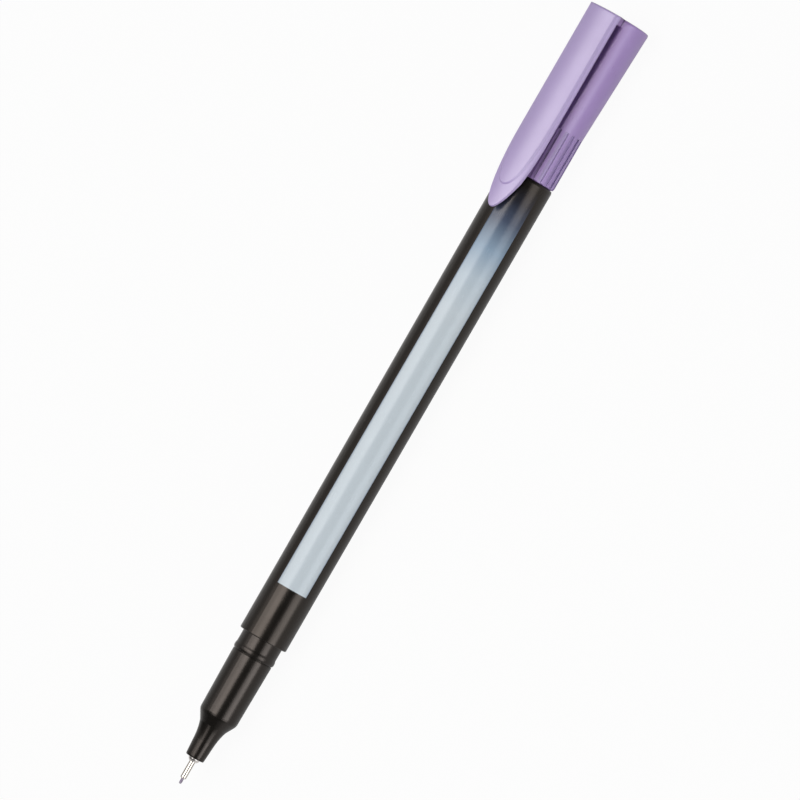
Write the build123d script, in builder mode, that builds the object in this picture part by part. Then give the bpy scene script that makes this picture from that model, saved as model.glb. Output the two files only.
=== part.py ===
from build123d import *
import os
from math import radians, tan

# A fineliner pen with its cap posted on the tail. It lies along X: the nib points to -X, the cap's closed
# end to +X and the clip straight up. Stations run along the axis, in millimetres, from the barrel's front
# face: positive towards the cap, negative towards the nib.

os.makedirs("parts", exist_ok=True)

# Fits
press_clearance = 0.02
running_clearance = 0.05
mouth_clearance = 0.05

# Front section, from the barrel's front face to the nozzle's end
neck_length = 2.25
neck_radius = 3.695
bead_length = 1.1
bead_radius = 3.8
bead_slope = 0.3
bead_groove_width = 0.2
bead_groove_depth = 0.12
grip_length = 11.7
grip_rear_radius = 3.665
grip_front_radius = 3.5
grip_edge_round = 0.3
shoulder_length = 1.85
shoulder_foot_radius = 2.475
nozzle_flare_length = 2.9
nozzle_waist_radius = 1.9
nozzle_taper_length = 3.3
nozzle_end_radius = 1.7
nozzle_edge_ease = 0.25
section_plug_length = 8.0
section_cavity_radius = 2.6
section_cavity_taper = 3.0
section_seat_depth = 1.5

# Tip
dome_height = 0.65
collar_radius = 1.05
collar_recess_width = 0.12
collar_recess_depth = 0.25
collar_depth = 4.5
needle_reach = 3.25
needle_radius = 0.52
needle_bore_radius = 0.265
needle_hold = 3.5
needle_chamfer = 0.1
nib_reach = 1.05
nib_point_radius = 0.245
nib_point_round = 0.3
nib_point_flat = 0.08
nib_rod_radius = 0.8
nib_rod_taper = 1.2
nib_vent_gap = 0.1
nib_bite = 9.0
nib_tail_taper = 1.6

# Barrel and tail
barrel_length = 89.6
barrel_front_radius = 4.41
barrel_front_land = 9.5
barrel_rear_radius = 4.64
barrel_front_chamfer = 0.12
barrel_shoulder_ease = 0.45
barrel_bore_radius = 3.5
rib_count = 6
rib_width = 0.6
tail_length = 13.8
tail_radius = 3.66
tail_wall = 0.8
tail_end_wall = 1.0
tail_end_chamfer = 0.5
tail_bead_station = 2.6
tail_bead_length = 0.9
tail_bead_height = 0.05
tail_plug_length = 6.0
tail_plug_lead_in = 0.25

# Ink store
film_radius = 3.2
film_thickness = 0.1
reservoir_end_gap = 0.3

# Cap
cap_length = 30.9
cap_mouth_radius = 4.7
cap_mouth_ease = 0.5
cap_flare_start = 9.7
cap_end_radius = 5.5
cap_end_ease = 0.3
cap_end_wall = 1.3
cap_bore_radius = 3.8
cap_lead_in = 0.25
snap_rib_depth = 1.1
snap_rib_width = 0.6
snap_rib_radius = 3.74
flute_count = 20
flute_width = 0.72
flute_depth = 0.3
flute_length = 9.7
inner_cap_depth = 15.9
inner_cap_wall = 0.75
inner_cap_end = 0.8
inner_cap_seal = 0.25

# Clip: a leaf with a flat underside and a round back, in front of a channel in the cap. Its heights are
# measured from the pen's axis.
clip_length = 38.5
clip_underside = 5.6
clip_back_radius = 6.62
clip_half_width = 3.27
clip_side_draft = 25.0
clip_tip_draft = 14.0
clip_tip_length = 14.0
clip_end_ease = 0.3
clip_lift_length = 5.8
clip_lift_height = 0.7
clip_ridge_setback = 7.0
clip_ridge_length = 2.4
clip_ridge_height = 0.85
clip_ridge_width = 2.4
panel_height = 0.25
panel_edge_slope = 0.26
panel_half_width = 2.8
panel_setback = 4.45
panel_taper_length = 15.0
panel_tip_fullness = 0.625
panel_side_reach = 0.8
channel_half_angle = 31.0
channel_floor_radius = 4.3
channel_side_slope = 12.0
notch_half_angle = 39.0
notch_radius = 5.1
flange_thickness = 1.45

# Stations
bead_rear = -neck_length
bead_front = bead_rear - bead_length
grip_front = bead_front - grip_length
shoulder_foot = grip_front - shoulder_length
nozzle_waist = shoulder_foot - nozzle_flare_length
nozzle_end = nozzle_waist - nozzle_taper_length
dome_front = nozzle_end - dome_height
needle_front = dome_front - needle_reach
nib_tip = needle_front - nib_reach
collar_rear = nozzle_end + collar_depth
tail_plug_front = barrel_length - tail_plug_length
tail_end = barrel_length + tail_length
cap_mouth = barrel_length + mouth_clearance
cap_end = cap_mouth + cap_length
flange_face = cap_end - flange_thickness
clip_tip = cap_end - clip_length
cap_floor = cap_end - cap_end_wall
inner_cap_mouth = cap_mouth + inner_cap_depth

# The pen's box is centred on the origin and rests on Z = 0
front_face_x = -(nib_tip + cap_end) / 2
axis_height = max(cap_end_radius, cap_mouth_radius, barrel_rear_radius)
axis_origin = (front_face_x, 0, axis_height)
pen_axis = Axis(axis_origin, (1, 0, 0))
side = Plane(axis_origin, x_dir=(1, 0, 0), z_dir=(0, -1, 0))
plan = Plane(axis_origin, x_dir=(1, 0, 0), z_dir=(0, 0, 1))
nib_end_view = Plane(axis_origin, x_dir=(0, 1, 0), z_dir=(1, 0, 0))


def half_section(*points):
    """A closed half section of the pen from (station, radius) points."""
    with BuildSketch(side) as section:
        with BuildLine():
            Polyline(*points, close=True)
        make_face()
    return section.sketch


def across(station):
    """The plane square to the axis at one station, facing the cap's end."""
    return nib_end_view.offset(station)


def eased(start, corner, stop):
    """The points of a corner that is broken by two flats."""
    half_way = (Vector(start) + Vector(corner) * 2 + Vector(stop)) / 4
    return (start, (half_way.X, half_way.Y), stop)


def ridge_points(station, length, foot_radius, top_radius):
    """The points of a low ring with two slopes."""
    return ((station, foot_radius), (station + length / 2, top_radius), (station + length, foot_radius))


# Barrel: a drafted tube, straight at the front, with an eased rear shoulder
seat_radius = neck_radius + press_clearance
with BuildPart() as barrel:
    wall = half_section(
        (0, seat_radius),
        (0, barrel_front_radius - barrel_front_chamfer),
        (barrel_front_chamfer, barrel_front_radius),
        (barrel_front_land, barrel_front_radius),
        *eased(
            (barrel_length - barrel_shoulder_ease, barrel_rear_radius),
            (barrel_length, barrel_rear_radius),
            (barrel_length, barrel_rear_radius - barrel_shoulder_ease),
        ),
        (barrel_length, barrel_bore_radius),
        (section_seat_depth, barrel_bore_radius),
        (section_seat_depth, seat_radius),
    )
    revolve(wall, axis=pen_axis)
    # Ribs inside hold the ink store and leave air channels between them
    rib_tip_radius = film_radius + press_clearance
    rib_root_radius = (barrel_bore_radius + barrel_front_radius) / 2
    with BuildSketch(across(section_plug_length)):
        with PolarLocations((rib_tip_radius + rib_root_radius) / 2, rib_count):
            Rectangle(rib_root_radius - rib_tip_radius, rib_width)
    extrude(amount=tail_plug_front - section_plug_length)

# Tail plug: a cup pressed into the barrel's rear, whose wider spigot carries the posted cap
tail_plug_radius = barrel_bore_radius - press_clearance
tail_bore_radius = tail_plug_radius - tail_wall
tail_bead_front = barrel_length + tail_bead_station
with BuildPart() as tail_plug:
    cup = half_section(
        (tail_plug_front, tail_bore_radius),
        (tail_plug_front, tail_plug_radius - tail_plug_lead_in),
        (tail_plug_front + tail_plug_lead_in, tail_plug_radius),
        (barrel_length, tail_plug_radius),
        (barrel_length, tail_radius),
        *ridge_points(tail_bead_front, tail_bead_length, tail_radius, tail_radius + tail_bead_height),
        (tail_end - tail_end_chamfer, tail_radius),
        (tail_end, tail_radius - tail_end_chamfer),
        (tail_end, 0),
        (tail_end - tail_end_wall, 0),
        (tail_end - tail_end_wall, tail_bore_radius),
    )
    revolve(cup, axis=pen_axis)

# Front section: plug, neck, snap bead, grip, shoulder cone and a nozzle that sweeps in to its waist
section_plug_radius = barrel_bore_radius - press_clearance
collar_seat_radius = collar_radius + press_clearance
nib_guide_radius = nib_rod_radius + nib_vent_gap
cavity_front = grip_front + section_cavity_taper
shoulder_slope = (grip_front_radius - shoulder_foot_radius) / shoulder_length
shoulder_top_radius = grip_front_radius - grip_edge_round * shoulder_slope
nozzle_rim = eased(
    (nozzle_end, nozzle_end_radius - nozzle_edge_ease),
    (nozzle_end, nozzle_end_radius),
    (nozzle_end + nozzle_edge_ease, nozzle_end_radius),
)
grip_rim = eased(
    (grip_front - grip_edge_round, shoulder_top_radius),
    (grip_front, grip_front_radius),
    (grip_front + grip_edge_round, grip_front_radius),
)
groove_front = bead_front - bead_groove_width
groove_floor_radius = grip_rear_radius - bead_groove_depth
with BuildPart() as front_section:
    with BuildSketch(side):
        with BuildLine():
            taper = Line(nozzle_rim[-1], (nozzle_waist, nozzle_waist_radius))
            sweep_out = TangentArc(
                taper @ 1, (shoulder_foot, shoulder_foot_radius), tangent=taper % 1
            )
            Polyline(
                sweep_out @ 1,
                *grip_rim,
                (groove_front, grip_rear_radius),
                (groove_front, groove_floor_radius),
                (bead_front, groove_floor_radius),
                (bead_front, neck_radius),
                (bead_front + bead_slope, bead_radius),
                (bead_rear - bead_slope, bead_radius),
                (bead_rear, neck_radius),
                (section_seat_depth, neck_radius),
                (section_seat_depth, section_plug_radius),
                (section_plug_length, section_plug_radius),
                (section_plug_length, section_cavity_radius),
                (cavity_front, section_cavity_radius),
                (grip_front, nib_guide_radius),
                (collar_rear, nib_guide_radius),
                (collar_rear, collar_seat_radius),
                (nozzle_end, collar_seat_radius),
                *nozzle_rim,
            )
        make_face()
    revolve(axis=pen_axis)

# Tip collar: a turned metal bush with a domed front, recessed round the needle
needle_seat_radius = needle_radius + press_clearance / 2
collar_recess_radius = needle_seat_radius + collar_recess_width
collar_recess_floor = dome_front + collar_recess_depth
with BuildPart() as tip_collar:
    with BuildSketch(side):
        with BuildLine():
            dome = RadiusArc(
                (dome_front, collar_recess_radius),
                (nozzle_end, collar_radius),
                collar_radius - needle_seat_radius + dome_height / 2,
            )
            Polyline(
                dome @ 1,
                (collar_rear, collar_radius),
                (collar_rear, needle_seat_radius),
                (collar_recess_floor, needle_seat_radius),
                (collar_recess_floor, collar_recess_radius),
                dome @ 0,
            )
        make_face()
    revolve(axis=pen_axis)

# Needle tube: a drawn metal tube with its front edge turned down
needle_rear = nozzle_end + needle_hold
with BuildPart() as needle_tube:
    tube = half_section(
        (needle_front, needle_bore_radius),
        (needle_front, needle_radius - needle_chamfer),
        (needle_front + needle_chamfer, needle_radius),
        (needle_rear, needle_radius),
        (needle_rear, needle_bore_radius),
    )
    revolve(tube, axis=pen_axis)

# Nib: a capillary rod, ground down to a point that runs through the tube
nib_rear = section_plug_length + nib_bite
nib_tail_radius = nib_rod_radius / 2
nib_tail_start = nib_rear - nib_tail_taper
with BuildPart() as nib:
    rod = half_section(
        *eased(
            (nib_tip, nib_point_flat),
            (nib_tip, nib_point_radius),
            (nib_tip + nib_point_round, nib_point_radius),
        ),
        (collar_rear, nib_point_radius),
        (collar_rear + nib_rod_taper, nib_rod_radius),
        (nib_tail_start, nib_rod_radius),
        (nib_rear, nib_tail_radius),
        (nib_rear, 0),
        (nib_tip, 0),
    )
    revolve(rod, axis=pen_axis)

# Ink reservoir: a fibre rod, pierced by the nib
reservoir_front = section_plug_length
reservoir_rear = tail_plug_front - reservoir_end_gap
fibre_radius = film_radius - film_thickness
with BuildPart() as ink_reservoir:
    fibre = half_section(
        (reservoir_front, nib_rod_radius),
        (reservoir_front, fibre_radius),
        (reservoir_rear, fibre_radius),
        (reservoir_rear, 0),
        (nib_rear, 0),
        (nib_rear, nib_tail_radius),
        (nib_tail_start, nib_rod_radius),
    )
    revolve(fibre, axis=pen_axis)

with BuildPart() as reservoir_film:
    film = half_section(
        (reservoir_front, fibre_radius),
        (reservoir_front, film_radius),
        (reservoir_rear, film_radius),
        (reservoir_rear, fibre_radius),
    )
    revolve(film, axis=pen_axis)


def back_profile(radius):
    """The half section of a round back that is eased at the cap's end."""
    return half_section(
        (clip_tip, 0),
        (clip_tip, radius),
        *eased(
            (cap_end - clip_end_ease, radius),
            (cap_end, radius),
            (cap_end, radius - clip_end_ease),
        ),
        (cap_end, 0),
    )


# Clip leaf: its drafted sides run between two outlines, and its underside rises towards the tip
with BuildPart() as clip_leaf:
    for height in (clip_underside, clip_back_radius):
        rise = height - clip_underside
        half_width = clip_half_width - rise * tan(radians(clip_side_draft))
        tip_reach = clip_tip_length - rise * tan(radians(clip_tip_draft))
        with BuildSketch(plan.offset(height)):
            with BuildLine():
                tip = EllipticalCenterArc(
                    (clip_tip + clip_tip_length, 0), tip_reach, half_width, 90, arc_size=180
                )
                Polyline(tip @ 1, (cap_end, -half_width), (cap_end, half_width), tip @ 0)
            make_face()
    loft()
    revolve(back_profile(clip_back_radius), axis=pen_axis, mode=Mode.INTERSECT)
    lift = half_section(
        (clip_tip, clip_underside),
        (clip_tip + clip_lift_length, clip_underside),
        (clip_tip, clip_underside + clip_lift_height),
    )
    extrude(lift, amount=clip_half_width, both=True, mode=Mode.SUBTRACT)

# Raised panel on the leaf's back, with a round front end and sloped edges
panel_front = clip_tip + panel_setback
panel_side_start = panel_front + panel_taper_length
with BuildPart() as clip_panel:
    with BuildSketch(plan.offset(clip_underside)):
        with BuildLine():
            curve = Bezier(
                (panel_front, 0),
                (panel_front, panel_tip_fullness * panel_half_width),
                (panel_side_start - panel_side_reach * panel_taper_length, panel_half_width),
                (panel_side_start, panel_half_width),
            )
            Line(curve @ 1, (cap_end, panel_half_width))
            Line((cap_end, panel_half_width), (cap_end, 0))
            mirror(about=Plane.XZ)
        make_face()
    extrude(amount=clip_back_radius)
    revolve(back_profile(clip_back_radius + panel_height), axis=pen_axis, mode=Mode.INTERSECT)
    top = clip_panel.faces().filter_by(GeomType.CYLINDER).sort_by(SortBy.AREA)[-1]
    front_and_sides = top.edges().sort_by(Axis.X)[:-1]
    chamfer(front_and_sides, panel_edge_slope)

# Pocket clip: leaf and panel up to the face of the cap's end flange, where the clip flexes, and a ridge
# under its tip
ridge_middle = clip_tip + clip_ridge_setback
ridge_root = (clip_underside + clip_back_radius) / 2
with BuildPart() as pocket_clip:
    add(clip_leaf.part)
    add(clip_panel.part)
    split(bisect_by=across(flange_face), keep=Keep.BOTTOM)
    with BuildSketch(side):
        with BuildLine():
            ridge = ThreePointArc(
                (ridge_middle - clip_ridge_length / 2, clip_underside),
                (ridge_middle, clip_underside - clip_ridge_height),
                (ridge_middle + clip_ridge_length / 2, clip_underside),
            )
            Polyline(
                ridge @ 1,
                (ridge_middle + clip_ridge_length / 2, ridge_root),
                (ridge_middle - clip_ridge_length / 2, ridge_root),
                ridge @ 0,
            )
        make_face()
    extrude(amount=clip_ridge_width / 2, both=True)

with BuildPart() as clip_root:
    add(clip_leaf.part)
    add(clip_panel.part)
    split(bisect_by=across(flange_face), keep=Keep.TOP)

# Cap shell: a flared body with a channel behind the clip, a shallow notch in its end flange and the
# clip's root on the flange
flare_start = cap_mouth + cap_flare_start
channel_foot = Vector(0, channel_floor_radius).rotate(Axis.Z, -channel_half_angle)
channel_rise = (cap_end_radius - channel_foot.X) * tan(radians(channel_side_slope))
notch_reach = cap_end_radius * tan(radians(notch_half_angle))
with BuildPart() as cap_shell:
    body = half_section(
        (cap_mouth, 0),
        *eased(
            (cap_mouth, cap_mouth_radius - cap_mouth_ease),
            (cap_mouth, cap_mouth_radius),
            (cap_mouth + cap_mouth_ease, cap_mouth_radius),
        ),
        (flare_start, cap_mouth_radius),
        *eased(
            (cap_end - cap_end_ease, cap_end_radius),
            (cap_end, cap_end_radius),
            (cap_end, cap_end_radius - cap_end_ease),
        ),
        (cap_end, 0),
    )
    revolve(body, axis=pen_axis)
    with BuildSketch(across(cap_mouth)):
        with BuildLine():
            Polyline(
                (-cap_end_radius, channel_foot.Y + channel_rise),
                (-channel_foot.X, channel_foot.Y),
                (channel_foot.X, channel_foot.Y),
                (cap_end_radius, channel_foot.Y + channel_rise),
                (cap_end_radius, cap_end_radius),
                (-cap_end_radius, cap_end_radius),
                close=True,
            )
        make_face()
        Circle(channel_floor_radius, mode=Mode.SUBTRACT)
    extrude(amount=flange_face - cap_mouth, mode=Mode.SUBTRACT)
    with BuildSketch(across(flange_face)):
        with BuildLine():
            Polyline((0, 0), (notch_reach, cap_end_radius), (-notch_reach, cap_end_radius), close=True)
        make_face()
        Circle(notch_radius, mode=Mode.SUBTRACT)
    extrude(amount=flange_thickness, mode=Mode.SUBTRACT)
    with BuildSketch(across(flange_face)):
        with Locations((0, clip_underside / 2)):
            Rectangle(2 * clip_half_width, clip_underside)
    extrude(amount=flange_thickness)
    add(clip_root.part)
    bore = half_section(
        (cap_mouth, 0),
        (cap_mouth, cap_bore_radius + cap_lead_in),
        (cap_mouth + cap_lead_in, cap_bore_radius),
        *ridge_points(cap_mouth + snap_rib_depth, snap_rib_width, cap_bore_radius, snap_rib_radius),
        (cap_floor, cap_bore_radius),
        (cap_floor, 0),
    )
    revolve(bore, axis=pen_axis, mode=Mode.SUBTRACT)
    # Flutes round the mouth, set out from the clip's middle plane
    with BuildSketch(across(cap_mouth)):
        with PolarLocations(cap_mouth_radius, flute_count, start_angle=90):
            Rectangle(2 * flute_depth, flute_width)
    extrude(amount=flute_length, mode=Mode.SUBTRACT)

# Inner cap: a seal cup whose chamfered mouth meets the section's shoulder when the pen is capped
inner_cap_radius = cap_bore_radius - running_clearance
inner_cap_bore = inner_cap_radius - inner_cap_wall
inner_cap_rear = cap_floor - running_clearance
inner_cap_floor = inner_cap_rear - inner_cap_end
with BuildPart() as inner_cap:
    cup = half_section(
        (inner_cap_mouth, inner_cap_bore + inner_cap_seal),
        (inner_cap_mouth, inner_cap_radius),
        (inner_cap_rear, inner_cap_radius),
        (inner_cap_rear, 0),
        (inner_cap_floor, 0),
        (inner_cap_floor, inner_cap_bore),
        (inner_cap_mouth + inner_cap_seal, inner_cap_bore),
    )
    revolve(cup, axis=pen_axis)

pieces = {
    "barrel": barrel,
    "tail_plug": tail_plug,
    "front_section": front_section,
    "tip_collar": tip_collar,
    "needle_tube": needle_tube,
    "nib": nib,
    "ink_reservoir": ink_reservoir,
    "reservoir_film": reservoir_film,
    "cap_shell": cap_shell,
    "inner_cap": inner_cap,
    "pocket_clip": pocket_clip,
}
for name, piece in pieces.items():
    piece.part.label = name
    export_step(piece.part, f"parts/{name}.step")
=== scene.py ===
from functools import cached_property
from math import cos, pi, radians, sin, tan

import bmesh
import bpy
from mathutils import Matrix, Vector


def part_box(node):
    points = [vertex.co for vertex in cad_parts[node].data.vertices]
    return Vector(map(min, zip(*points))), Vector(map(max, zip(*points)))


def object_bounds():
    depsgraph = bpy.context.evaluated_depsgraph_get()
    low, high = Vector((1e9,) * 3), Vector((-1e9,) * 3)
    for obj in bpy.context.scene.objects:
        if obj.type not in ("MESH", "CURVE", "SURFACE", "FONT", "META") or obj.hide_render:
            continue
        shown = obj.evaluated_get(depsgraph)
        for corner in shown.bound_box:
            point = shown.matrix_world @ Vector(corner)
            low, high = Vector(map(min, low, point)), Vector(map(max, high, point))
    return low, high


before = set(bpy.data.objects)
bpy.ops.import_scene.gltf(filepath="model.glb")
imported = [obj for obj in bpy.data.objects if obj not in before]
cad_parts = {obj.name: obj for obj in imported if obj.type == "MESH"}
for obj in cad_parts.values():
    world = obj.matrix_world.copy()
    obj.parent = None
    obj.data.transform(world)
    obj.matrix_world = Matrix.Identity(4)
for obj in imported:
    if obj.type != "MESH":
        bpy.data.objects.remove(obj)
# Blender's own start objects would count in the box
for leftover in ("Cube", "Light", "Camera"):
    if leftover in bpy.data.objects:
        bpy.data.objects.remove(bpy.data.objects[leftover])
cad_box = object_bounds()

MM = 0.001
MICRON = 1e-6

# Places on the pen, in metres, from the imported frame. The pen lies along X, with the nib towards -X and
# the clip up. Angles are measured round the axis from the top, on the cap to either side and elsewhere
# towards the camera's side. A reach is where an effect is still full, a clear is where it has ended.
barrel_front, barrel_rear = (corner.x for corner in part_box("barrel"))
axis_height = (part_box("barrel")[0].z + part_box("barrel")[1].z) / 2
pen_middle = (cad_box[0].x + cad_box[1].x) / 2

# Section: the snap bead, how far from its middle the edges are softer, and the two kinds of edge
bead_middle = barrel_front - 2.7 * MM
bead_reach, bead_clear = 0.65 * MM, 0.85 * MM
bead_edge, grip_edge = 0.50 * MM, 0.16 * MM

# Cap: above clip_height over the axis there is only the clip, because the body is thinner than that
clip_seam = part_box("pocket_clip")[1].x
seam_reach, seam_clear = 0.05 * MM, 0.3 * MM
clip_height, clip_height_edge = 5.5 * MM, 0.1 * MM
flute_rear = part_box("cap_shell")[0].x + 9.7 * MM
flute_clear = flute_rear + 0.5 * MM
channel_brink = radians(40)
brink_reach, brink_clear = radians(8), radians(14)
brink_edge = 0.90 * MM
smooth_gloss, satin_gloss = 0.30, 0.33
# Painted light in the flutes: the reach of the hollows that are painted paler, and how far their floors go
# towards the clip's paler tint
flute_reach, flute_painted_light = 0.5 * MM, 0.8
# Painted shade on the cap: the reach of the darkened corners, how darkly the feet of the clip's panel, the
# feet of the flutes' walls and the channel are painted, and the turns from the top where the painted shadow
# beside the channel is full and where it has ended
foot_reach = 0.15 * MM
panel_foot_shade, flute_foot_shade, channel_shade = 0.40, 0.20, 0.36
shade_reach, shade_clear = radians(40), radians(55)

# Print on the barrel, which fades out towards the clip
print_front = barrel_front + 9.72 * MM
print_front_edge = 0.06 * MM
print_centre_front = radians(31.95)
print_centre_rear = radians(34.60)
print_half_width = 2.95 * MM
print_side_edge = 0.06 * MM
print_rim = 0.28 * MM
print_rim_strength = 0.5
fade_start = barrel_front + 64.0 * MM
fade_end = barrel_front + 88.0 * MM
rim_fade_start, rim_fade_end = 0.3, 0.8
shine_fade_start, shine_fade_end = 0.6, 0.95

# Moulded plastic: grain sizes, and how far each kind of unevenness swings
drift_grain, drift_swing = 9 * MM, 0.025
drag_grain, drag_stretch, drag_swing = 0.12 * MM, 0.02, 0.012
patch_grain, patch_swing = 2.5 * MM, 0.025
skin_grain = 0.28 * MM
edge_polish, edge_wear = 0.04, 0.35
sharp_edge = 0.12 * MM

# Noise seldom leaves this range
noise_low, noise_high = 0.3, 0.7

# View: square to the pen, from above its front side, turned so that the cap is at the upper right
view_elevation = radians(59.0)
view_roll = radians(29.97)
view_distance = 1.10
view_width = 134.8 * MM
view_offset_along = 0.225 * MM
view_offset_across = -0.13 * MM
view_near, view_far = 0.01, 20.0
sensor_width_mm = 36.0

# Soft boxes: name, first and last angle in degrees, length, radiance, tint, shift along the pen.
# The dimmer boxes beyond the nib are there for the sloping nozzle, which mirrors them.
warm_white = (1.0, 0.985, 0.97)
cool_white = (0.98, 0.99, 1.0)
soft_box_distance = 0.55
soft_boxes = (
    ("overhead_box", -9, 15.5, 0.32, 5.3, warm_white, 0.0),
    ("overhead_wing", -28, -9, 0.32, 3.9, warm_white, 0.0),
    ("feather_box", -46, -28, 0.32, 1.3, warm_white, 0.0),
    ("fill_box", -88, -46, 0.50, 0.4, warm_white, 0.0),
    ("side_box", 58, 90, 0.29, 3.0, cool_white, -0.055),
    ("grip_box", 69, 91, 0.09, 2.6, cool_white, -0.125),
    ("nib_box", -9, 15.5, 0.30, 2.0, warm_white, -0.31),
    ("nib_side_box", 58, 90, 0.20, 2.0, cool_white, -0.30),
)
world_strength = 0.08

# Floor: radius and height of its rings, and how white its paper is to each kind of ray
floor_rings = ((1.25, 0.0), (1.45, 0.03), (1.60, 0.12), (1.68, 0.27), (1.70, 0.45))
floor_steps = 96
paper_whiteness = (("Is Camera Ray", 0.95), ("Is Glossy Ray", 0.3), ("Is Transmission Ray", 0.3))


def colour(red, green, blue):
    return (red, green, blue, 1.0)


class Shader:
    """A material with one Principled shader, and short ways to add and join nodes."""

    def __init__(self, name, **settings):
        self.material = bpy.data.materials.new(name)
        self.material.use_nodes = True
        self.tree = self.material.node_tree
        self.surface = self.tree.nodes["Principled BSDF"]
        for socket, value in settings.items():
            self.surface.inputs[socket.replace("_", " ")].default_value = value

    @cached_property
    def place(self):
        """The pen's own coordinates, in metres."""
        return self.node("ShaderNodeTexCoord").outputs["Object"]

    @cached_property
    def plain_normal(self):
        return self.node("ShaderNodeNewGeometry").outputs["Normal"]

    def node(self, kind, **properties):
        made = self.tree.nodes.new(kind)
        for name, value in properties.items():
            setattr(made, name, value)
        return made

    def feed(self, socket, value):
        """Link a socket to another one, or set its number or colour."""
        if isinstance(value, bpy.types.NodeSocket):
            self.tree.links.new(value, socket)
        else:
            socket.default_value = value

    def set(self, socket, value):
        self.feed(self.surface.inputs[socket], value)

    def math(self, operation, first, second=0.0):
        made = self.node("ShaderNodeMath", operation=operation)
        self.feed(made.inputs[0], first)
        self.feed(made.inputs[1], second)
        return made.outputs[0]

    def times(self, first, second):
        return self.math("MULTIPLY", first, second)

    def gap(self, value, centre):
        """How far a value is from a centre, on either side."""
        return self.math("ABSOLUTE", self.math("SUBTRACT", value, centre))

    def span(self, value, start, stop, low=0.0, high=1.0):
        """Value from start..stop, carried over to low..high and held beyond the ends."""
        made = self.node("ShaderNodeMapRange", clamp=True)
        for socket, entry in zip(made.inputs, (value, start, stop, low, high)):
            self.feed(socket, entry)
        return made.outputs[0]

    def vary(self, noise, low, high):
        """Noise, carried from its usual range over to low..high."""
        return self.span(noise, noise_low, noise_high, low, high)

    def blend(self, share, first, second, mode="MIX"):
        made = self.node("ShaderNodeMix", data_type="RGBA", blend_type=mode)
        self.feed(made.inputs["Factor"], share)
        self.feed(made.inputs[6], first)
        self.feed(made.inputs[7], second)
        return made.outputs[2]

    def scaled(self, base, amount):
        """A colour made darker or paler by an amount round 1."""
        return self.blend(1.0, base, amount, mode="MULTIPLY")

    def along_pen(self, stretch):
        """The pen's own coordinates, scaled along its axis, for lengthwise lines or rings."""
        made = self.node("ShaderNodeMapping")
        self.feed(made.inputs["Vector"], self.place)
        made.inputs["Scale"].default_value = (stretch, 1.0, 1.0)
        return made.outputs["Vector"]

    def parts(self):
        """The pen's own coordinates as three numbers."""
        made = self.node("ShaderNodeSeparateXYZ")
        self.feed(made.inputs[0], self.place)
        return made.outputs

    def noise(self, grain, detail=2.0, place=None):
        """Noise whose lumps are about one grain across, in metres."""
        made = self.node("ShaderNodeTexNoise")
        self.feed(made.inputs["Vector"], place or self.place)
        made.inputs["Scale"].default_value = 1.0 / grain
        made.inputs["Detail"].default_value = detail
        return made.outputs["Fac"]

    def rounded(self, radius, where=None):
        """A normal that rounds the edges, everywhere or only in the places that a mask gives."""
        bevel = self.node("ShaderNodeBevel", samples=6)
        self.feed(bevel.inputs["Radius"], radius)
        if where is None:
            return bevel.outputs["Normal"]
        choice = self.node("ShaderNodeMix", data_type="VECTOR")
        self.feed(choice.inputs["Factor"], where)
        self.feed(choice.inputs[4], self.plain_normal)
        self.feed(choice.inputs[5], bevel.outputs["Normal"])
        return choice.outputs[1]

    def edges(self, rounded):
        """A mask of the edges, where the rounded normal leaves the plain one."""
        made = self.node("ShaderNodeVectorMath", operation="DOT_PRODUCT")
        self.feed(made.inputs[0], rounded)
        self.feed(made.inputs[1], self.plain_normal)
        flat, bent = 0.99, 0.85
        return self.span(made.outputs["Value"], flat, bent)

    def corners(self, reach):
        """A mask of the inner corners and narrow hollows."""
        made = self.node("ShaderNodeAmbientOcclusion", samples=8, only_local=True)
        made.inputs["Distance"].default_value = reach
        bare, hemmed_in = 1.0, 0.75
        return self.span(made.outputs["AO"], bare, hemmed_in)

    def bump(self, height, depth, normal=None):
        made = self.node("ShaderNodeBump")
        made.inputs["Distance"].default_value = depth
        self.feed(made.inputs["Height"], height)
        if normal is not None:
            self.feed(made.inputs["Normal"], normal)
        return made.outputs["Normal"]

    def use_on(self, *names):
        for name in names:
            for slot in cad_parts[name].material_slots:
                slot.material = self.material


def moulded(shader, base, roughness, peel, edge_radius, edge_tint, where=None):
    """Moulded plastic: slight colour drift, uneven gloss, faint drag lines, an orange-peel skin, and edges
    that handling has made a little paler and smoother. It sets the gloss and the skin, and returns the
    colour."""
    rounded = shader.rounded(edge_radius, where)
    edges = shader.edges(rounded)
    drift = shader.noise(drift_grain, detail=3.0)
    drag_lines = shader.noise(drag_grain, detail=1.0, place=shader.along_pen(drag_stretch))
    patches = shader.noise(patch_grain, detail=4.0)
    gloss = shader.math("ADD", shader.vary(patches, -patch_swing, patch_swing), roughness)
    gloss = shader.math("ADD", gloss, shader.vary(drag_lines, -drag_swing, drag_swing))
    shader.set("Roughness", shader.math("SUBTRACT", gloss, shader.times(edges, edge_polish)))
    shader.set("Normal", shader.bump(shader.noise(skin_grain), peel, rounded))
    body = shader.scaled(base, shader.vary(drift, 1.0 - drift_swing, 1.0 + drift_swing))
    return shader.blend(shader.times(edges, edge_wear), body, edge_tint)


def print_mask(shader, along, across, height):
    """Where the print lies on the barrel, and how far each place is from the print's middle line."""
    up = shader.math("SUBTRACT", height, axis_height)
    side = shader.times(across, -1.0)
    turn = shader.math("ARCTAN2", side, up)
    squares = (shader.math("POWER", part, 2.0) for part in (up, side))
    radius = shader.math("SQRT", shader.math("ADD", *squares))
    centre = shader.span(along, barrel_front, barrel_rear, print_centre_front, print_centre_rear)
    off_centre = shader.times(shader.gap(turn, centre), radius)
    inside = shader.span(off_centre, print_half_width + print_side_edge, print_half_width - print_side_edge)
    begun = shader.span(along, print_front - print_front_edge, print_front + print_front_edge)
    return shader.times(inside, begun), off_centre


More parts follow.
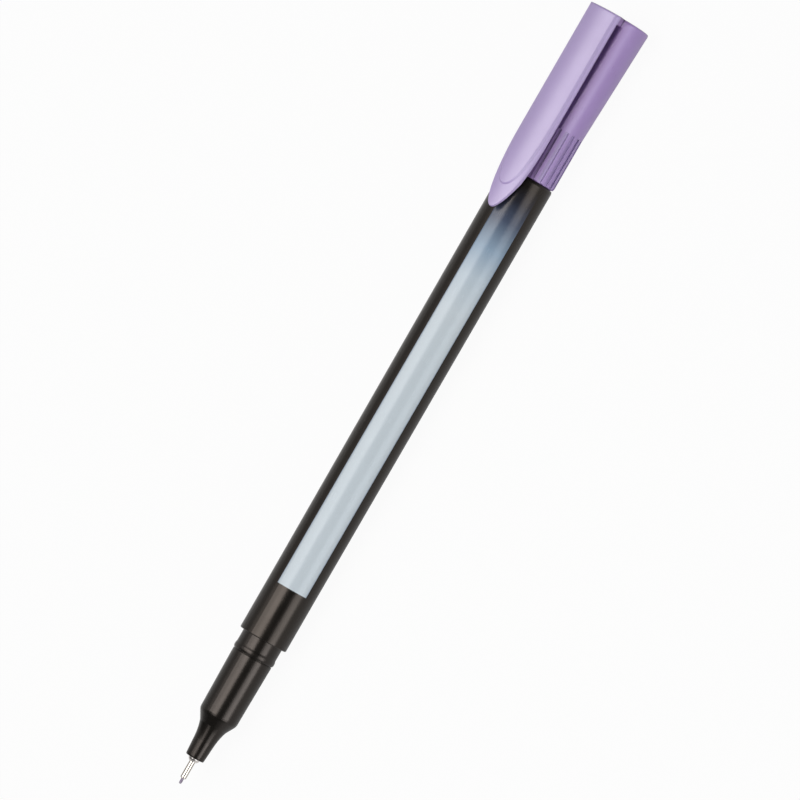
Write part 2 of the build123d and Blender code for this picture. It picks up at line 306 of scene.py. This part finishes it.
def print_ink(shader, faded, off_centre, bare):
    """The print's colour: pale silver that fades through slate blue to bare plastic, with a bluer rim."""
    steps = (
        (0.00, colour(0.515, 0.577, 0.622)),
        (0.27, colour(0.452, 0.528, 0.595)),
        (0.49, colour(0.250, 0.341, 0.446)),
        (0.72, colour(0.060, 0.079, 0.127)),
        (0.88, colour(0.016, 0.018, 0.028)),
        (1.00, bare),
    )
    fade = shader.node("ShaderNodeValToRGB")
    shader.feed(fade.inputs[0], faded)
    while len(fade.color_ramp.elements) < len(steps):
        fade.color_ramp.elements.new(0.5)
    for element, (position, tint) in zip(fade.color_ramp.elements, steps):
        element.position = position
        element.color = tint
    rim = shader.times(
        shader.span(off_centre, print_half_width - print_rim, print_half_width, 0.0, print_rim_strength),
        shader.span(faded, rim_fade_start, rim_fade_end, 1.0, 0.0))
    rim_tint = colour(0.16, 0.24, 0.37)
    ink = shader.blend(rim, fade.outputs["Color"], rim_tint)
    speckle = shader.noise(grain=0.16 * MM, detail=1.0)
    return shader.scaled(ink, shader.vary(speckle, low=0.98, high=1.02))


def barrel_material():
    shader = Shader("barrel_plastic", IOR=1.45)
    bare = colour(0.0052, 0.0046, 0.0038)
    black = moulded(shader, bare, roughness=0.25, peel=0.8 * MICRON, edge_radius=sharp_edge,
                    edge_tint=colour(0.016, 0.015, 0.014))
    along, across, height = shader.parts()
    mask, off_centre = print_mask(shader, along, across, height)
    faded = shader.span(along, fade_start, fade_end)
    ink = print_ink(shader, faded, off_centre, bare)
    shader.set("Base Color", shader.blend(mask, black, ink))
    plastic_shine = colour(1.0, 0.87, 0.78)
    print_shine = colour(0.92, 0.96, 1.0)
    shine = shader.times(mask, shader.span(faded, shine_fade_start, shine_fade_end, 1.0, 0.0))
    shader.set("Specular Tint", shader.blend(shine, plastic_shine, print_shine))
    shader.use_on("barrel")


def section_material():
    shader = Shader("section_plastic", IOR=1.45, Specular_Tint=colour(1.0, 0.88, 0.81))
    # The bead's slopes run softly into the neck and the grip, and the other edges are sharper
    along = shader.parts()[0]
    off_bead = shader.gap(along, bead_middle)
    radius = shader.span(off_bead, bead_reach, bead_clear, bead_edge, grip_edge)
    black = moulded(shader, colour(0.0055, 0.0049, 0.0041), roughness=0.25, peel=0.7 * MICRON,
                    edge_radius=radius, edge_tint=colour(0.016, 0.015, 0.014))
    shader.set("Base Color", black)
    shader.use_on("front_section")


def plain_plastic(name, node, ior, base, roughness, edge_tint):
    shader = Shader(name, IOR=ior)
    body = moulded(shader, base, roughness, peel=2 * MICRON, edge_radius=sharp_edge, edge_tint=edge_tint)
    shader.set("Base Color", body)
    shader.use_on(node)


def cap_material():
    shader = Shader("cap_plastic", IOR=1.62, Coat_Weight=0.8, Coat_Roughness=0.5)
    along, across, height = shader.parts()
    up = shader.math("SUBTRACT", height, axis_height)
    turn = shader.math("ARCTAN2", shader.math("ABSOLUTE", across), up)
    on_clip = shader.span(up, clip_height - clip_height_edge, clip_height)
    on_body = shader.math("SUBTRACT", 1.0, on_clip)
    fluted = shader.times(on_body, shader.span(along, flute_clear, flute_rear))
    # The clip and the cap are one moulding to the eye, so no edge is rounded where they meet
    off_seam = shader.span(shader.gap(along, clip_seam), seam_reach, seam_clear)
    # The brink of the channel behind the clip is rounder than the other edges
    brink = shader.times(shader.span(shader.gap(turn, channel_brink), brink_clear, brink_reach),
                         shader.span(along, flute_rear, flute_clear))
    radius = shader.span(shader.times(brink, on_body), 0.0, 1.0, sharp_edge, brink_edge)
    # Painted light: the clip's back is painted paler as a painted sheen, and the floors of the flutes are
    # painted paler to lift the shade in them
    lit_floors = shader.times(shader.corners(flute_reach), shader.times(fluted, flute_painted_light))
    smooth_tint = colour(0.352, 0.226, 0.535)
    painted_light_tint = colour(0.412, 0.320, 0.588)
    plastic = shader.blend(shader.math("MAXIMUM", on_clip, lit_floors), smooth_tint, painted_light_tint)
    gloss = shader.span(on_clip, 0.0, 1.0, smooth_gloss, satin_gloss)
    body = moulded(shader, plastic, gloss, peel=1.0 * MICRON, edge_radius=radius,
                   edge_tint=colour(0.460, 0.350, 0.640), where=off_seam)
    # Painted shade: the feet of the clip's panel and of the flutes' walls are darkened as if in shade, and
    # so are the channel and the body beside it, where the clip's shadow falls
    shade_tint = colour(0.16, 0.05, 0.19)
    footing = shader.math("ADD", shader.times(on_clip, panel_foot_shade), shader.times(fluted, flute_foot_shade))
    feet = shader.times(shader.corners(foot_reach), footing)
    beside = shader.times(shader.span(turn, shade_clear, shade_reach), on_body)
    painted_shade = shader.math("MAXIMUM", feet, shader.times(beside, channel_shade))
    shader.set("Base Color", shader.blend(painted_shade, body, shade_tint))
    shader.use_on("cap_shell", "pocket_clip")


def worked_metal(name, node, tint, roughness, grain, stretch, depth):
    """Bright metal with fine tool marks, which are rings where stretch is over 1 and lengthwise lines
    where it is under."""
    shader = Shader(name, Metallic=1.0)
    marks = shader.noise(grain, place=shader.along_pen(stretch))
    smear = shader.noise(grain=0.5 * MM, detail=3.0)
    shader.set("Roughness", shader.vary(smear, low=roughness - 0.04, high=roughness + 0.05))
    shader.set("Base Color", shader.scaled(tint, shader.vary(marks, low=0.9, high=1.06)))
    shader.set("Normal", shader.bump(marks, depth, normal=shader.rounded(radius=0.06 * MM)))
    shader.use_on(node)


def nib_material():
    shader = Shader("nib_fibre", IOR=1.45, Roughness=0.62)
    strands = shader.noise(grain=0.07 * MM, place=shader.along_pen(stretch=0.06))
    stain = shader.span(shader.noise(grain=0.6 * MM, detail=3.0), start=0.35, stop=0.65)
    pale, stained = colour(0.35, 0.31, 0.38), colour(0.25, 0.20, 0.30)
    fibre = shader.blend(stain, pale, stained)
    shader.set("Base Color", shader.scaled(fibre, shader.vary(strands, low=0.8, high=1.15)))
    shader.set("Normal", shader.bump(strands, depth=4 * MICRON))
    shader.use_on("nib")


def fibre_material():
    shader = Shader("ink_store_fibre", Roughness=0.85)
    strands = shader.noise(grain=0.1 * MM, detail=3.0, place=shader.along_pen(stretch=0.015))
    soak = shader.vary(shader.noise(grain=12 * MM), low=0.0, high=1.0)
    damp, wet = colour(0.27, 0.15, 0.47), colour(0.17, 0.08, 0.34)
    fibre = shader.blend(soak, damp, wet)
    shader.set("Base Color", shader.scaled(fibre, shader.vary(strands, low=0.75, high=1.2)))
    shader.set("Normal", shader.bump(strands, depth=8 * MICRON))
    shader.use_on("ink_reservoir")


def film_material():
    shader = Shader("store_film", IOR=1.5, Transmission_Weight=0.75)
    wrinkles = shader.noise(grain=1.2 * MM, detail=3.0, place=shader.along_pen(stretch=0.25))
    clouding = shader.vary(wrinkles, low=0.0, high=1.0)
    clear, cloudy = colour(0.80, 0.80, 0.85), colour(0.90, 0.90, 0.93)
    shader.set("Base Color", shader.blend(clouding, clear, cloudy))
    shader.set("Roughness", shader.vary(wrinkles, low=0.10, high=0.22))
    shader.set("Normal", shader.bump(wrinkles, depth=6 * MICRON))
    shader.use_on("reservoir_film")


def dress_pen():
    barrel_material()
    section_material()
    plain_plastic("plug_plastic", "tail_plug", ior=1.46, base=colour(0.010, 0.009, 0.008),
                  roughness=0.42, edge_tint=colour(0.020, 0.019, 0.018))
    cap_material()
    plain_plastic("liner_plastic", "inner_cap", ior=1.5, base=colour(0.74, 0.73, 0.69),
                  roughness=0.48, edge_tint=colour(0.80, 0.79, 0.76))
    worked_metal("collar_metal", "tip_collar", tint=colour(0.84, 0.80, 0.77), roughness=0.26,
                 grain=1.5 * MM, stretch=30.0, depth=0.8 * MICRON)
    worked_metal("needle_metal", "needle_tube", tint=colour(0.50, 0.465, 0.42), roughness=0.16,
                 grain=0.06 * MM, stretch=0.02, depth=0.5 * MICRON)
    nib_material()
    fibre_material()
    film_material()


def around(angle, distance):
    """A point round the pen's axis, at an angle from the top towards the camera's side."""
    return Vector((pen_middle, -sin(angle) * distance, axis_height + cos(angle) * distance))


def strip_light(name, low, high, length, radiance, tint, shift):
    """A long soft box beside the pen that covers the angles from low to high, in degrees."""
    angle = radians((low + high) / 2)
    width = 2 * soft_box_distance * tan(radians((high - low) / 2))
    lamp = bpy.data.lights.new(name, "AREA")
    lamp.shape = "RECTANGLE"
    lamp.size = length
    lamp.size_y = width
    lamp.color = tint
    lamp.energy = radiance * pi * length * width
    holder = bpy.data.objects.new(name, lamp)
    outward = around(angle, 1.0) - around(angle, 0.0)
    along = Vector((1, 0, 0))
    turn = Matrix((along, outward.cross(along), outward)).transposed()
    spot = around(angle, soft_box_distance) + shift * along
    holder.matrix_world = Matrix.Translation(spot) @ turn.to_4x4()
    bpy.context.scene.collection.objects.link(holder)


def light_studio():
    for soft_box in soft_boxes:
        strip_light(*soft_box)
    world = bpy.data.worlds.new("studio")
    bpy.context.scene.world = world
    world.use_nodes = True
    background = world.node_tree.nodes["Background"]
    background.inputs["Color"].default_value = colour(0.95, 0.97, 1.0)
    background.inputs["Strength"].default_value = world_strength


def paper_material():
    """Paper that is white to the eye and in reflections, and still takes the pen's shadow."""
    shader = Shader("floor_paper", Base_Color=colour(0.62, 0.62, 0.62), Roughness=0.9,
                    Specular_IOR_Level=0.1)
    glow = shader.node("ShaderNodeEmission")
    glow.inputs["Strength"].default_value = 1.0
    path = shader.node("ShaderNodeLightPath")
    share = 0.0
    for ray, whiteness in paper_whiteness:
        share = shader.math("MAXIMUM", share, shader.times(path.outputs[ray], whiteness))
    mix = shader.node("ShaderNodeMixShader")
    shader.feed(mix.inputs["Fac"], share)
    shader.feed(mix.inputs[1], shader.surface.outputs["BSDF"])
    shader.feed(mix.inputs[2], glow.outputs["Emission"])
    shader.feed(shader.tree.nodes["Material Output"].inputs["Surface"], mix.outputs["Shader"])
    return shader.material


def lay_floor():
    """A flat round floor that sweeps up into a low backdrop."""
    shape = bmesh.new()
    turns = [2 * pi * step / floor_steps for step in range(floor_steps)]
    inner = None
    for radius, height in floor_rings:
        ring = [shape.verts.new((radius * cos(turn), radius * sin(turn), height)) for turn in turns]
        if inner is None:
            shape.faces.new(ring)
        else:
            for step in range(floor_steps):
                after = (step + 1) % floor_steps
                shape.faces.new((inner[step], ring[step], ring[after], inner[after]))
        inner = ring
    mesh = bpy.data.meshes.new("floor")
    shape.to_mesh(mesh)
    shape.free()
    mesh.shade_smooth()
    mesh.materials.append(paper_material())
    floor = bpy.data.objects.new("floor", mesh)
    bpy.context.scene.collection.objects.link(floor)


def set_camera():
    forward = Vector((0, cos(view_elevation), -sin(view_elevation)))
    along = Vector((1, 0, 0))
    across = forward.cross(along)
    up = cos(view_roll) * along - sin(view_roll) * across
    right = sin(view_roll) * along + cos(view_roll) * across
    target = Vector((pen_middle, 0, axis_height))
    target += view_offset_along * along + view_offset_across * across
    turn = Matrix((right, up, -forward)).transposed()
    data = bpy.data.cameras.new("camera")
    data.sensor_width = sensor_width_mm
    data.lens = sensor_width_mm * view_distance / view_width
    data.clip_start = view_near
    data.clip_end = view_far
    camera = bpy.data.objects.new("camera", data)
    camera.matrix_world = Matrix.Translation(target - view_distance * forward) @ turn.to_4x4()
    bpy.context.scene.collection.objects.link(camera)
    bpy.context.scene.camera = camera


dress_pen()
light_studio()
lay_floor()
set_camera()
bpy.context.scene.view_settings.view_transform = "Standard"
